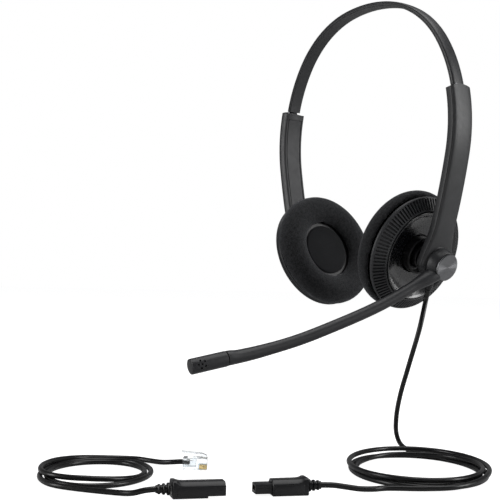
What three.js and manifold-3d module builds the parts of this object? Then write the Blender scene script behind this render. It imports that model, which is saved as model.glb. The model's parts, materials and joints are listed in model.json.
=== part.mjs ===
// Two-ear corded office headset with a boom microphone and its detachable phone lead.
//
// Frame: millimetres, +Z up, the wearer faces -Y. The origin is the middle of the underside of
// the headband's crown, where the headband rests on the head. The wearer's left side is +X.
import * as THREE from 'three';
import { mergeVertices } from 'three/addons/utils/BufferGeometryUtils.js';
import Module from 'manifold-3d';

const wasm = await Module();
wasm.setup();

// ---------------------------------------------------------------- driving dimensions
const GAP = 0.3; // between neighbouring pieces

const BAND_WIDTH = 7.6;
const BAND_THICKNESS = 2.6;
const BAND_ARCS = [[78, 12], [54, 45], [75, 20]]; // radius, turn in degrees, crown to sleeve
const ARM_ARCS = [[83, 23], [340, 9]]; // the same, from the sleeve's mouth to the hub
const ARM_WIDTH = 13;
const ARM_HALF = 2.7; // half of the arm's thickness

const TONGUE_OFFSET = 0.8; // outward of the band's middle
const TONGUE_LENGTH = 37;
const TONGUE_THICKNESS = 0.9;
const TONGUE_WIDTH = 6;
const TONGUE_HEAD = 7.4; // the wide end that stops at the sleeve's lip
const SLEEVE_LIP = 6;

const HUB_TILT = 19; // the cup's axis points this many degrees below level
const BALL_RADIUS = 4.5;
const BALL_OUT = -7.6; // the ball's centre on the hub's axis, from the arm's middle
const CUP_RADIUS = 29.3;
const CUSHION_RADIUS = 31;

const KNUCKLE_RADIUS = 8.2;
const BOOM_RADIUS = 2.65;
// The boom's route in the hub's frame: [forward, down, out].
const BOOM_ROUTE = [
  [4, 4.5, 5.8], [34, 20.8, 5.6], [61.7, 32.8, 4.2], [79.3, 39.5, 3], [96.7, 44.6, 1.5], [112.5, 48.3, -0.1],
];
const MIC_LENGTH = 17.5;
const MIC_RADIUS = 3.4;

const FLOOR = -234; // below the crown's centreline: where the cords lie
const CORD_RADIUS = 1.2;
const LAY_TURN = 51.9; // degrees: the direction in which the two leads are laid out
const COIL_CENTRE = [22.5, -49];
const COIL_HALF = [33.8, 47.5];
const COIL_HOLE = [27, 31];
const COIL_HEIGHT = 5.2;
const COIL_LIFT = 0.1; // over the surface
const COIL_TURN = -5;
const LEAD_COIL_CENTRE = [-125.2, -78.7];
const LEAD_COIL_HALF = [25.5, 36.9];
const LEAD_COIL_HOLE = [19.5, 24];
const PLUG_PLACE = [-33.6, -107.6]; // where the headset plug's body meets its strain relief
const SOCKET_PLACE = [-89, -122.6]; // the same on the phone lead's socket
const PLUG_TURN = 15.2;
const PLUG_HEIGHT = 3.7; // of the plug's middle over the surface it lies on
const TELEPHONE_PLUG_PLACE = [-82.6, -58];

const rad = THREE.MathUtils.degToRad;

// ---------------------------------------------------------------- solids
// A geometry as one closed solid with its faces pointing out, ready to join and cut.
function solid(geometry) {
  const bare = geometry.clone();
  bare.deleteAttribute('normal');
  bare.deleteAttribute('uv');
  const merged = mergeVertices(bare, 1e-4);
  const p = merged.attributes.position.array;
  const index = merged.index.array;
  const faces = [];
  let volume = 0;
  const a = new THREE.Vector3();
  const b = new THREE.Vector3();
  const c = new THREE.Vector3();
  for (let i = 0; i < index.length; i += 3) {
    const [i0, i1, i2] = [index[i], index[i + 1], index[i + 2]];
    if (i0 === i1 || i1 === i2 || i2 === i0) continue;
    faces.push(i0, i1, i2);
    a.fromArray(p, 3 * i0);
    b.fromArray(p, 3 * i1);
    c.fromArray(p, 3 * i2);
    volume += a.dot(b.cross(c));
  }
  if (volume < 0) faces.reverse();
  return new wasm.Manifold(new wasm.Mesh({
    numProp: 3,
    vertProperties: new Float32Array(p),
    triVerts: new Uint32Array(faces),
  }));
}

function toGeometry(manifold) {
  const mesh = manifold.getMesh();
  const geometry = new THREE.BufferGeometry();
  geometry.setAttribute('position', new THREE.Float32BufferAttribute(mesh.vertProperties, 3));
  geometry.setIndex(new THREE.Uint32BufferAttribute(mesh.triVerts, 1));
  geometry.computeVertexNormals();
  return geometry;
}

// A round solid about Z from a closed profile of [radius, z] points.
function turned(profile, segments = 26) {
  const points = profile.map(([r, z]) => new THREE.Vector2(r, z));
  if (profile[0][0] > 0) points.push(points[0].clone());
  return new THREE.LatheGeometry(points, segments).rotateX(Math.PI / 2);
}

// A flat outline of [x, y] points raised along +Z, its edges chamfered.
function raised(outline, height, chamfer = 0, holes = []) {
  const toShape = (points) => new THREE.Shape(points.map(([x, y]) => new THREE.Vector2(x, y)));
  const shape = outline instanceof THREE.Shape ? outline : toShape(outline);
  shape.holes.push(...holes);
  return new THREE.ExtrudeGeometry(shape, {
    depth: height - 2 * chamfer,
    bevelEnabled: chamfer > 0,
    bevelThickness: chamfer,
    bevelSize: chamfer,
    bevelOffset: -chamfer,
    bevelSegments: 1,
    curveSegments: 8,
  }).translate(0, 0, chamfer);
}

function box(x0, x1, y0, y1, z0, z1) {
  const middle = [(x0 + x1) / 2, (y0 + y1) / 2, (z0 + z1) / 2];
  return new THREE.BoxGeometry(x1 - x0, y1 - y0, z1 - z0).translate(...middle);
}

// A round bar along Z from z0 to z1.
function bar(radius, z0, z1, segments = 16, topRadius = radius) {
  const cylinder = new THREE.CylinderGeometry(topRadius, radius, z1 - z0, segments);
  return cylinder.rotateX(Math.PI / 2).translate(0, 0, (z0 + z1) / 2);
}

// A round tube or cord along the points.
function tube(points, radius, sides, steps) {
  const corner = (turn) => new THREE.Vector2(radius * Math.cos(turn), radius * Math.sin(turn));
  const corners = Array.from({ length: sides }, (_, i) => corner((2 * Math.PI * i) / sides));
  const path = new THREE.CatmullRomCurve3(points.map((p) => new THREE.Vector3(...p)));
  const options = { steps, bevelEnabled: false, extrudePath: path };
  return new THREE.ExtrudeGeometry(new THREE.Shape(corners), options);
}

// ---------------------------------------------------------------- the arch's side view
// Points along a chain of arcs in the XZ plane, each with the angle of its outward normal.
function alongArcs(arcs, start, step) {
  const points = [start];
  let { x, z, angle } = start;
  for (const [radius, turn] of arcs) {
    const [centreX, centreZ] = [x - radius * Math.cos(rad(angle)), z - radius * Math.sin(rad(angle))];
    const count = Math.max(2, Math.round(turn / step));
    for (let i = 1; i <= count; i += 1) {
      const at = angle - (turn * i) / count;
      points.push({
        x: centreX + radius * Math.cos(rad(at)),
        z: centreZ + radius * Math.sin(rad(at)),
        angle: at,
      });
    }
    ({ x, z, angle } = points[points.length - 1]);
  }
  return points;
}

// A ribbon that follows the points, between two distances from them, centred on Y = 0.
function ribbon(points, inner, outer, width, chamfer) {
  const off = (p, d) => [p.x + d * Math.cos(rad(p.angle)), p.z + d * Math.sin(rad(p.angle))];
  const outline = [...points.map((p) => off(p, outer)), ...points.map((p) => off(p, inner)).reverse()];
  return raised(outline, width, chamfer).rotateX(Math.PI / 2).translate(0, width / 2, 0);
}

const bandHalf = alongArcs(BAND_ARCS, { x: 0, z: 0, angle: 90 }, 5);
const mouth = bandHalf[bandHalf.length - 1];
const armLine = alongArcs(ARM_ARCS, mouth, 3);
const hubPoint = armLine[armLine.length - 1];
// The hub's frame: +Z outward along the cup's axis, +X down the arm, +Y to the wearer's back.
const hubMatrix = new THREE.Matrix4()
  .makeRotationY(rad(90 + HUB_TILT))
  .setPosition(hubPoint.x, 0, hubPoint.z);

// ---------------------------------------------------------------- materials
function plastic(name, colour, roughness) {
  return new THREE.MeshStandardMaterial({ name, color: colour, roughness, metalness: 0 });
}
function metal(name, colour, roughness, metalness = 1) {
  return new THREE.MeshStandardMaterial({ name, color: colour, roughness, metalness });
}

const look = {
  band: () => plastic('band_plastic', 0x2c2d30, 0.45),
  arm: () => plastic('arm_plastic', 0x3c3d40, 0.5),
  cover: () => plastic('cover_plastic', 0x26272a, 0.55),
  vent: () => plastic('vent_ring_plastic', 0x3a3b3e, 0.5),
  gloss: () => plastic('gloss_plastic', 0x14151a, 0.2),
  inner: () => plastic('inner_plastic', 0x1b1c1f, 0.6),
  foam: () => plastic('foam', 0x1f2124, 0.95),
  cloth: () => plastic('cloth', 0x14161c, 0.95),
  boom: () => plastic('boom_plastic', 0x2b2c2f, 0.5),
  cord: () => plastic('cord_jacket', 0x121213, 0.4),
  plug: () => plastic('plug_plastic', 0x1c1c1e, 0.35),
  clear: () => plastic('clear_plastic', 0xe8ecee, 0.1),
  cap: () => metal('spun_cap', 0x6a6b6e, 0.3, 0.8),
  steel: () => metal('steel', 0xb8bbc0, 0.3),
  gold: () => metal('gold', 0xd9a83a, 0.25),
};

function piece(name, manifold, material) {
  const mesh = new THREE.Mesh(toGeometry(manifold), material());
  mesh.name = name;
  return mesh;
}

// ---------------------------------------------------------------- headband
// The slide tongue under each end of the band: a thin blade with a wide end.
function tongue() {
  const x0 = mouth.x + TONGUE_OFFSET - TONGUE_THICKNESS / 2;
  const [half, head] = [TONGUE_WIDTH / 2, TONGUE_HEAD / 2];
  const [top, bottom] = [mouth.z + 0.9, mouth.z - TONGUE_LENGTH];
  const outline = [
    [-half, top], [-half, bottom + 3], [-head, bottom + 3], [-head, bottom],
    [head, bottom], [head, bottom + 3], [half, bottom + 3], [half, top],
  ];
  return raised(outline, TONGUE_THICKNESS).rotateX(Math.PI / 2).rotateZ(Math.PI / 2).translate(x0, 0, 0);
}

function headband() {
  const otherHalf = bandHalf.slice(1).map((p) => ({ x: -p.x, z: p.z, angle: 180 - p.angle })).reverse();
  const arch = ribbon([...otherHalf, ...bandHalf], -BAND_THICKNESS / 2, BAND_THICKNESS / 2, BAND_WIDTH, 0.6);
  return solid(arch).add(solid(tongue())).add(solid(tongue().rotateZ(Math.PI)));
}

// ---------------------------------------------------------------- sleeve arms
// The room for the tongue, narrow at the sleeve's lip and wider below it.
function tongueRoom() {
  const x = mouth.x + TONGUE_OFFSET;
  const half = TONGUE_THICKNESS / 2 + GAP;
  const [narrow, wide] = [TONGUE_WIDTH / 2 + GAP, TONGUE_HEAD / 2 + GAP];
  const lipBottom = mouth.z - SLEEVE_LIP;
  const lip = box(x - half, x + half, -narrow, narrow, lipBottom - 1, mouth.z + 3);
  const room = box(x - half, x + half, -wide, wide, mouth.z - TONGUE_LENGTH - 2 * GAP, lipBottom);
  return solid(lip).add(solid(room));
}

// The arm's lower end in the hub's frame: it widens to a straight edge behind the boom's knuckle.
function flare() {
  const shape = new THREE.Shape();
  const half = ARM_WIDTH / 2;
  shape.moveTo(-19, -half);
  shape.bezierCurveTo(-11, -half, -5, -9.2, 2.5, -9.8);
  shape.lineTo(2.5, 9.8);
  shape.bezierCurveTo(-5, 9.2, -11, half, -19, half);
  return raised(shape, 5.2, 0.9).translate(0, 0, -2.6);
}

const COVER_ARC = armLine.slice(1, -1); // the stretch of the arm that the cover closes
const SCREW_UP = 21.5; // the cover screw's distance above the hub
const SCREW_IN = 0.7; // how far the arm has bent inward there

function armShell(hasBoom) {
  const atHub = (geometry) => solid(geometry.applyMatrix4(hubMatrix));
  // The sleeve starts just under the band's end.
  const start = { ...mouth, x: mouth.x + 0.3 * Math.sin(rad(mouth.angle)), z: mouth.z - 0.3 };
  let arm = solid(ribbon([start, ...armLine.slice(1)], -ARM_HALF, ARM_HALF, ARM_WIDTH, 1.2));
  arm = arm.add(atHub(flare())).add(atHub(bar(8.4, -ARM_HALF, ARM_HALF, 26)));
  // The flat stud that carries the cup's ball on a cross pin.
  const stud = box(-2.2, 2.2, -1.5, 1.5, BALL_OUT, -2);
  const round = bar(2.2, -1.5, 1.5, 16).rotateX(Math.PI / 2).translate(0, 0, BALL_OUT);
  const eye = bar(1.1, -2, 2, 12).rotateX(Math.PI / 2).translate(0, 0, BALL_OUT);
  arm = arm.add(atHub(stud)).add(atHub(round)).subtract(atHub(eye));
  if (hasBoom) {
    arm = arm.add(atHub(bar(3, 2, 6.6, 24))).subtract(atHub(bar(1.3, 1.5, 7, 12)));
    arm = arm.add(atHub(glandBoss())).subtract(atHub(glandBore()));
  } else {
    arm = arm.subtract(atHub(bar(2.2, 1.5, 3, 16)));
  }
  const screwBore = bar(0.9, -2.5, 0.9, 8).translate(-SCREW_UP, 0, -SCREW_IN);
  arm = arm.subtract(solid(ribbon(COVER_ARC, -4, -1.2, 9.9, 0)));
  return arm.subtract(tongueRoom()).subtract(atHub(screwBore));
}

function armCover() {
  const trimmed = COVER_ARC.map((p) => ({ ...p }));
  trimmed[0].z -= GAP;
  trimmed[trimmed.length - 1].z += GAP;
  const plate = solid(ribbon(trimmed, -ARM_HALF, -1.5, 9.3, 0));
  const hole = bar(0.95, -4, 0, 10).translate(-SCREW_UP, 0, -SCREW_IN).applyMatrix4(hubMatrix);
  const sink = bar(1.9, -4, -2.1, 16).translate(-SCREW_UP, 0, -SCREW_IN).applyMatrix4(hubMatrix);
  return plate.subtract(tongueRoom()).subtract(solid(hole)).subtract(solid(sink));
}

// The screw that holds the cover, in the hub's frame.
function coverScrew() {
  const head = bar(1.6, -2.7, -2.4, 16);
  const shank = bar(0.6, -2.5, 0.5, 8);
  return solid(head).add(solid(shank));
}

// ---------------------------------------------------------------- the cord's gland, hub's frame
const GLAND_OUT = 0.4;
const GLAND_LEAN = -5; // degrees to the back

function glandTurned(geometry) {
  return geometry.rotateY(Math.PI / 2).rotateZ(rad(-GLAND_LEAN)).translate(0, 0, GLAND_OUT);
}

function glandBoss() {
  return glandTurned(bar(2.2, 6, 10.6, 16, 2));
}

function glandBore() {
  return glandTurned(bar(1.15, 6, 12, 12));
}

function cordGland() {
  const profile = [
    [0, 7], [0.85, 7], [0.85, 10.9], [2.1, 10.9], [2.1, 12.1], [1.75, 12.4], [1.55, 14.2], [0, 14.2],
  ];
  return solid(glandTurned(turned(profile, 16)));
}

// ---------------------------------------------------------------- ear cup, hub's frame
// The glossy back shell: a shallow dish, a rim and a skirt.
function cupShell() {
  return solid(turned([
    [9.8, -12.2], [15, -11.8], [19.4, -10.4], [21.4, -8.2], [22.4, -7.8], [22.5, -10.2], [27.3, -13.3],
    [27.3, -17.4], [25.9, -17.4], [25.9, -14.2], [21.6, -11.4], [19.4, -12.2], [15, -13.2], [9.8, -13.5],
  ]));
}

// The slotted vent ring round the shell.
function ventRing() {
  return solid(turned([
    [22.9, -8.2], [28.6, -11.8], [CUP_RADIUS, -12.6], [CUP_RADIUS, -14.4],
    [27.7, -14.4], [27.7, -12.9], [22.9, -9.8],
  ]));
}

// The socket in the middle of the dish: an outer rim and a seat that grips the ball.
function ballSocket() {
  return solid(turned([
    [0, -13.4], [9.4, -13.4], [9.4, -8], [8.4, -7.6], [8.2, -12], [6.4, -12], [6.2, -6.4],
    [4.5, -6.1], [4.9, -7.6], [4.4, -9.9], [2.8, -11.6], [0, -12.5],
  ]));
}

// The ball: slotted for the arm's stud, with a cross pin through the slot.
function pivotBall() {
  const sphere = new THREE.SphereGeometry(BALL_RADIUS, 18, 11).rotateX(Math.PI / 2);
  const ball = solid(sphere.translate(0, 0, BALL_OUT));
  const slot = solid(box(-3.3, 3.3, -1.85, 1.85, BALL_OUT - 2.7, 0));
  const pin = solid(bar(0.8, -3, 3, 12).rotateX(Math.PI / 2).translate(0, 0, BALL_OUT));
  return ball.subtract(slot).add(pin);
}

// The front plate that carries the driver and closes the cup.
function baffle() {
  return solid(turned([
    [11.5, -18.9], [27.3, -18.9], [27.3, -17.8], [15.2, -17.8], [14.4, -18.2], [11.5, -18.2],
  ]));
}

function driverBasket() {
  return solid(turned([
    [0, -14.9], [7.5, -14.9], [14, -16.6], [14, -17.8], [12.6, -17.8], [7, -16.2], [0, -16.2],
  ]));
}

function driverMagnet() {
  return solid(turned([[0, -13.8], [6, -13.8], [6.5, -14.1], [6.5, -14.6], [0, -14.6]], 24));
}

function driverCone() {
  return solid(turned([[0, -16.7], [6.6, -16.9], [10.6, -18], [10.6, -18.4], [6.4, -17.5], [0, -17.3]], 24));
}

function clothDisc() {
  return solid(turned([[0, -19.2], [13.2, -19.2], [13.6, -19.5], [13.2, -19.8], [0, -19.8]], 32));
}

function cushion() {
  return solid(turned([
    [27.8, -15], [29.6, -14.9], [30.8, -16.6], [CUSHION_RADIUS, -19.6], [30, -23], [27.4, -25.4],
    [23.4, -26.2], [19, -25.2], [15.6, -22.8], [14.1, -20.6], [14.6, -19.3], [27.8, -19.3],
  ]));
}

function earCup(side) {
  const cup = new THREE.Group();
  cup.add(
    piece(`${side}_cup_shell`, cupShell(), look.gloss),
    piece(`${side}_vent_ring`, ventRing(), look.vent),
    piece(`${side}_ball_socket`, ballSocket(), look.inner),
    piece(`${side}_pivot_ball`, pivotBall(), look.inner),
    piece(`${side}_baffle`, baffle(), look.inner),
    piece(`${side}_driver_basket`, driverBasket(), look.steel),
    piece(`${side}_driver_magnet`, driverMagnet(), look.steel),
    piece(`${side}_driver_cone`, driverCone(), look.inner),
    piece(`${side}_cloth_disc`, clothDisc(), look.cloth),
    piece(`${side}_cushion`, cushion(), look.foam),
  );
  return cup;
}

// A group whose contents are given in the hub's frame.
function hubGroup(...contents) {
  const group = new THREE.Group();
  group.applyMatrix4(hubMatrix);
  group.add(...contents);
  return group;
}

// ---------------------------------------------------------------- boom, hub's frame
const boomPoints = BOOM_ROUTE.map(([forward, down, out]) => [down, -forward, out]);

function boomTube() {
  const knuckle = solid(turned([
    [3.3, 3], [7.9, 3], [KNUCKLE_RADIUS, 3.4], [7.2, 8.4], [5.4, 8.4], [5.4, 6.2], [3.3, 6.2],
  ]));
  const room = solid(bar(5.3, 2.5, 9, 24));
  const boom = solid(tube(boomPoints, BOOM_RADIUS, 12, 16)).subtract(room);
  return boom.add(knuckle);
}

// The washer-headed screw on the arm's post, under the cap.
function boomScrew() {
  return solid(bar(4.9, 6.9, 7.7, 24)).add(solid(bar(1, 2, 7, 12)));
}

function boomCap() {
  return solid(turned([[0, 8.1], [5, 8.1], [5, 8.7], [6.7, 8.7], [6.7, 9.2], [6.2, 9.6], [0, 9.4]], 32));
}

// The cap on the side that has no boom sits straight on the arm.
function plainCap() {
  return solid(turned([[0, 1.8], [1.9, 1.8], [1.9, 3], [6.7, 3], [6.7, 3.5], [6.2, 3.9], [0, 3.9]], 32));
}

// Where the microphone's capsule starts, and the way it points.
const micEnd = new THREE.CatmullRomCurve3(boomPoints.map((p) => new THREE.Vector3(...p)));
const micStart = micEnd.getPoint(1);
const micAim = new THREE.Vector3(4.1, -16.1, -1.9).normalize();

function alongMic(geometry) {
  const turn = new THREE.Quaternion().setFromUnitVectors(new THREE.Vector3(0, 0, 1), micAim);
  return geometry.applyQuaternion(turn).translate(micStart.x, micStart.y, micStart.z);
}

// Six small sound holes on the outer side: one in the middle of a ring of five.
function soundHoles() {
  const ringRadius = 1.7;
  const facing = 45; // degrees about the capsule
  const holes = [[0, 0]];
  for (let i = 0; i < 5; i += 1) {
    const turn = (2 * Math.PI * i) / 5;
    holes.push([ringRadius * Math.cos(turn), ringRadius * Math.sin(turn)]);
  }
  return holes.map(([along, across]) => {
    const hole = bar(0.42, 0, 5, 6).translate(across, 0, 0).rotateX(-Math.PI / 2);
    return solid(alongMic(hole.rotateZ(rad(facing)).translate(0, 0, MIC_LENGTH - 4.6 + along)));
  });
}

function micCapsule() {
  const bore = 2.6;
  const length = MIC_LENGTH;
  const shell = [
    [bore, 0.3], [MIC_RADIUS, 0.3], [MIC_RADIUS, length - 1], [MIC_RADIUS - 0.8, length],
    [0, length], [0, length - 1.2], [bore, length - 1.2],
  ];
  let capsule = solid(alongMic(turned(shell, 16)));
  for (const hole of soundHoles()) capsule = capsule.subtract(hole);
  return capsule;
}

function micElement() {
  return solid(alongMic(bar(2.2, 10.6, 14.6, 16)));
}

// ---------------------------------------------------------------- cords and their ends
// The frame of the surface: X along the laid-out leads, Y away behind them, Z up from it.
const layMatrix = new THREE.Matrix4().makeRotationZ(rad(LAY_TURN)).setPosition(0, 0, FLOOR);

function onFloor(x, y, height) {
  return new THREE.Vector3(x, y, height).applyMatrix4(layMatrix).toArray();
}

function inHub(down, back, out) {
  return new THREE.Vector3(down, back, out).applyMatrix4(hubMatrix).toArray();
}

function glandAt(distance) {
  return inHub(distance * Math.cos(rad(GLAND_LEAN)), -distance * Math.sin(rad(GLAND_LEAN)), GLAND_OUT);
}

// From the gland down to the surface behind the coil.
function hangingCord() {
  const route = [
    glandAt(14.5), glandAt(20), onFloor(23.8, -36, 67.4), onFloor(19.6, -31, 48.4),
    onFloor(16.8, -24, 33), onFloor(16.7, -13.4, 20.5), onFloor(18.4, -4.4, 11.2),
    onFloor(21.8, 1.4, 5), onFloor(27, 4.2, 1.6), onFloor(34, 2.4, 1.3),
  ];
  return solid(tube(route, CORD_RADIUS, 8, 26));
}

// An oval hank: the outer shape of a loose coil.
function hank(half, hole, height) {
  const shape = new THREE.Shape();
  shape.absellipse(0, 0, half[0], half[1], 0, 2 * Math.PI);
  const inside = new THREE.Path();
  inside.absellipse(0, 0, hole[0], hole[1], 0, 2 * Math.PI, true);
  return solid(raised(shape, height, 0, [inside]));
}

// From the coil's near side to the plug's strain relief.
function plugCord() {
  const route = [
    [1.4, -96.2, 1.3], [-4.5, -99.2, 1.35], [-10.5, -101.4, 1.7],
    [-17, -103.1, 2.7], [-22, -104.5, 3.5], [-27, -105.8, PLUG_HEIGHT],
  ];
  return solid(tube(route, CORD_RADIUS, 8, 12));
}

// From the socket's strain relief to the phone lead's coil.
function socketCord() {
  const route = [
    [-95.6, -124.4, PLUG_HEIGHT], [-99.5, -124.8, 3.2], [-104, -124.4, 2],
    [-108.6, -122, 1.35], [-112.6, -119.4, 1.3],
  ];
  return solid(tube(route, CORD_RADIUS, 8, 10));
}

// From the phone lead's coil to the telephone plug.
function telephoneCord() {
  const route = [
    [-118.6, -40.6, 1.3], [-112, -41.4, 1.3], [-104.6, -46.4, 1.4],
    [-98.4, -53, 2], [-93.4, -56.9, 2.9], [-88.7, -57.9, 3.4],
  ];
  return solid(tube(route, CORD_RADIUS, 8, 10));
}

// A ribbed strain relief along +X, 6 mm long.
function strainRelief() {
  const profile = [[0, 0], [1.2, 0]];
  const core = 1.7;
  for (const rib of [0.3, 2.2, 4.1]) {
    const radius = 2.6 - rib * 0.12;
    profile.push([radius, rib], [radius, rib + 1.1], [core, rib + 1.1], [core, rib + 1.9]);
  }
  profile.push([0, 6]);
  return solid(turned(profile, 10).rotateY(Math.PI / 2));
}

// The headset's half of the quick connector: a body with a tongue along -X.
const BODY_HALF = 4; // half of each connector body's width

function plugBody() {
  const side = [[-15.6, -3.5], [0, -3.5], [0, 3.6], [-1.4, 3.7], [-4, 3.1], [-15.6, 3]];
  const body = solid(raised(side, 2 * BODY_HALF, 0.7).rotateX(Math.PI / 2).translate(0, BODY_HALF, 0));
  const plugTongue = solid(box(-22.8, -15, -2.9, 2.9, -2.6, 2));
  const contactRoom = solid(box(-23, -16.5, -1.9, 1.9, -1.2, 0.7));
  return body.add(plugTongue).subtract(contactRoom);
}

function plugContacts() {
  return [-1.2, 0, 1.2].map((y) => solid(box(-22, -16.8, y - 0.3, y + 0.3, -0.9, 0.1)));
}

// The phone lead's half: a hollow body that takes the tongue along +X.
function socketBody() {
  const side = [[0, -3.5], [14.6, -3.5], [14.6, -2.6], [22, -2.6], [22, 3.1], [4, 3.1], [1.4, 3.7], [0, 3.6]];
  const body = solid(raised(side, 2 * BODY_HALF, 0.7).rotateX(Math.PI / 2).translate(0, BODY_HALF, 0));
  const room = solid(box(13.4, 23, -3.25, 3.25, -2.9, 2.35));
  return body.subtract(room);
}

// The blade in the socket that slides into the tongue.
function socketBlade() {
  return solid(box(13.7, 20.6, -1.5, 1.5, 0.2, 0.5));
}

// A clear telephone plug along +X, its latch on top.
const CONTACT_PITCH = 1.02;
const CONTACT_PLACES = [-1.5, -0.5, 0.5, 1.5].map((place) => place * CONTACT_PITCH);

function telephonePlugBody() {
  const body = solid(box(-5.6, 5.6, -3.8, 3.8, -3.1, 2.2));
  const cordWay = solid(box(-6, 0.6, -2.1, 2.1, -1.9, 1.2));
  let plug = body.subtract(cordWay);
  for (const y of CONTACT_PLACES) plug = plug.subtract(solid(box(1.6, 6, y - 0.25, y + 0.25, -4, -0.4)));
  return plug;
}

function telephoneContact(y) {
  return solid(box(2, 5.2, y - 0.13, y + 0.13, -2.8, -0.9));
}

function telephoneLatch() {
  const side = [[5.4, 2.55], [5.4, 3.3], [3, 4.3], [-6.4, 5.1], [-6.4, 4.5], [2.6, 3.6], [3.6, 2.55]];
  return solid(raised(side, 3.2, 0).rotateX(Math.PI / 2).translate(0, 1.6, 0));
}

function floorGroup(x, y, height, turn, ...contents) {
  const group = new THREE.Group();
  group.position.set(x, y, height);
  group.rotation.z = rad(turn);
  group.add(...contents);
  return group;
}

// A place moved along the connector's length.
function behind(place, distance) {
  return [place[0] + distance * Math.cos(rad(PLUG_TURN)), place[1] + distance * Math.sin(rad(PLUG_TURN))];
}

function headsetCord() {
  const group = new THREE.Group();
  group.applyMatrix4(layMatrix);
  const coil = piece('headset_cord_coil', hank(COIL_HALF, COIL_HOLE, COIL_HEIGHT), look.cord);
  const contacts = plugContacts().map((c, i) => piece(`plug_contact_${i + 1}`, c, look.gold));
  group.add(
    floorGroup(...COIL_CENTRE, COIL_LIFT, COIL_TURN, coil),
    piece('headset_cord_lead', plugCord(), look.cord),
    floorGroup(
      ...PLUG_PLACE, PLUG_HEIGHT, PLUG_TURN,
      piece('plug_body', plugBody(), look.plug),
      ...contacts,
    ),
    floorGroup(
      ...behind(PLUG_PLACE, GAP), PLUG_HEIGHT, PLUG_TURN,
      piece('plug_strain_relief', strainRelief(), look.cord),
    ),
  );
  return group;
}

function phoneLead() {
  const group = new THREE.Group();
  group.applyMatrix4(layMatrix);
  const coil = piece('phone_lead_coil', hank(LEAD_COIL_HALF, LEAD_COIL_HOLE, COIL_HEIGHT), look.cord);
  const contacts = CONTACT_PLACES.map((y, i) => (
    piece(`telephone_contact_${i + 1}`, telephoneContact(y), look.gold)
  ));
  group.add(
    floorGroup(...LEAD_COIL_CENTRE, COIL_LIFT, COIL_TURN, coil),
    piece('phone_lead_socket_cord', socketCord(), look.cord),
    piece('phone_lead_plug_cord', telephoneCord(), look.cord),
    floorGroup(
      ...SOCKET_PLACE, PLUG_HEIGHT, PLUG_TURN,
      piece('socket_body', socketBody(), look.plug),
      piece('socket_blade', socketBlade(), look.gold),
    ),
    floorGroup(
      ...behind(SOCKET_PLACE, -GAP), PLUG_HEIGHT, PLUG_TURN + 180,
      piece('socket_strain_relief', strainRelief(), look.cord),
    ),
    floorGroup(
      ...TELEPHONE_PLUG_PLACE, 3.4, 0,
      piece('telephone_plug_body', telephonePlugBody(), look.clear),
      piece('telephone_plug_latch', telephoneLatch(), look.clear),
      ...contacts,
    ),
  );
  return group;
}

// ---------------------------------------------------------------- the whole headset
function sideOf(side, hasBoom) {
  const group = new THREE.Group();
  group.add(
    piece(`${side}_arm_shell`, armShell(hasBoom), look.arm),
    piece(`${side}_arm_cover`, armCover(), look.cover),
    hubGroup(
      earCup(side),
      floorGroup(-SCREW_UP, 0, -SCREW_IN, 0, piece(`${side}_cover_screw`, coverScrew(), look.steel)),
    ),
  );
  return group;
}

const left = sideOf('left', true);
left.add(hubGroup(
  piece('cord_gland', cordGland(), look.cord),
  piece('boom_tube', boomTube(), look.boom),
  piece('boom_screw', boomScrew(), look.steel),
  piece('boom_cap', boomCap(), look.cap),
  piece('mic_capsule', micCapsule(), look.boom),
  piece('mic_element', micElement(), look.steel),
));

const right = sideOf('right', false);
right.add(hubGroup(piece('right_hub_cap', plainCap(), look.cap)));
right.rotation.z = Math.PI;

const headset = new THREE.Group();
headset.name = 'office_headset';
headset.position.z = BAND_THICKNESS / 2;
headset.add(
  piece('headband', headband(), look.band),
  left,
  right,
  piece('headset_cord_hang', hangingCord(), look.cord),
  headsetCord(),
  phoneLead(),
);

export default headset;
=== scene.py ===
"""The looks of an office headset and its phone lead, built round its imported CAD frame.

Everything is in metres in the CAD frame: +Z up, the wearer faces -Y, +X is the wearer's left.
Shapes are written in millimetres and scaled by MM when their meshes are made.
"""
import json
import math

import bmesh
import bpy
from mathutils import Matrix, Vector

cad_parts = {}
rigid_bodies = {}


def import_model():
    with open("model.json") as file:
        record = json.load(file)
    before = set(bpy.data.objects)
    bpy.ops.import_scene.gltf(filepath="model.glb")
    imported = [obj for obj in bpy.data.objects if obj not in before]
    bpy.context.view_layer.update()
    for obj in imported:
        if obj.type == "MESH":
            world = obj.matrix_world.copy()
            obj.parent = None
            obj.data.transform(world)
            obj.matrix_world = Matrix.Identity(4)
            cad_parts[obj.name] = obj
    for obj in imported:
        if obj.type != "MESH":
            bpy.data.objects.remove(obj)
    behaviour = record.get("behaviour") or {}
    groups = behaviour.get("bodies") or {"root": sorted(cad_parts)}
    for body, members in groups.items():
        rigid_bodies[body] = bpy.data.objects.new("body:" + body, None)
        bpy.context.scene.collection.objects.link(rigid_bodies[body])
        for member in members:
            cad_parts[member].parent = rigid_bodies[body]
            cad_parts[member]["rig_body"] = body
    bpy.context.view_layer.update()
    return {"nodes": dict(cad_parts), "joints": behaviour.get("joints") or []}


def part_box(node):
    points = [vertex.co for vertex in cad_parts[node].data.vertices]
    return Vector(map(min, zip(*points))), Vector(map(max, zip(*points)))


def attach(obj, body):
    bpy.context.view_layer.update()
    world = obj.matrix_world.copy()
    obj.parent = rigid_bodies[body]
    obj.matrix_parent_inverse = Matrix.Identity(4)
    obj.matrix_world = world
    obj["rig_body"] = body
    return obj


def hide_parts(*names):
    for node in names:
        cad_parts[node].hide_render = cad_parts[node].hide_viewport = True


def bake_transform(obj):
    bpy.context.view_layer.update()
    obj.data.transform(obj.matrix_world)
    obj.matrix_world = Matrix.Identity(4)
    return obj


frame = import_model()

MM = 0.001
SIDES = ("left", "right")

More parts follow.
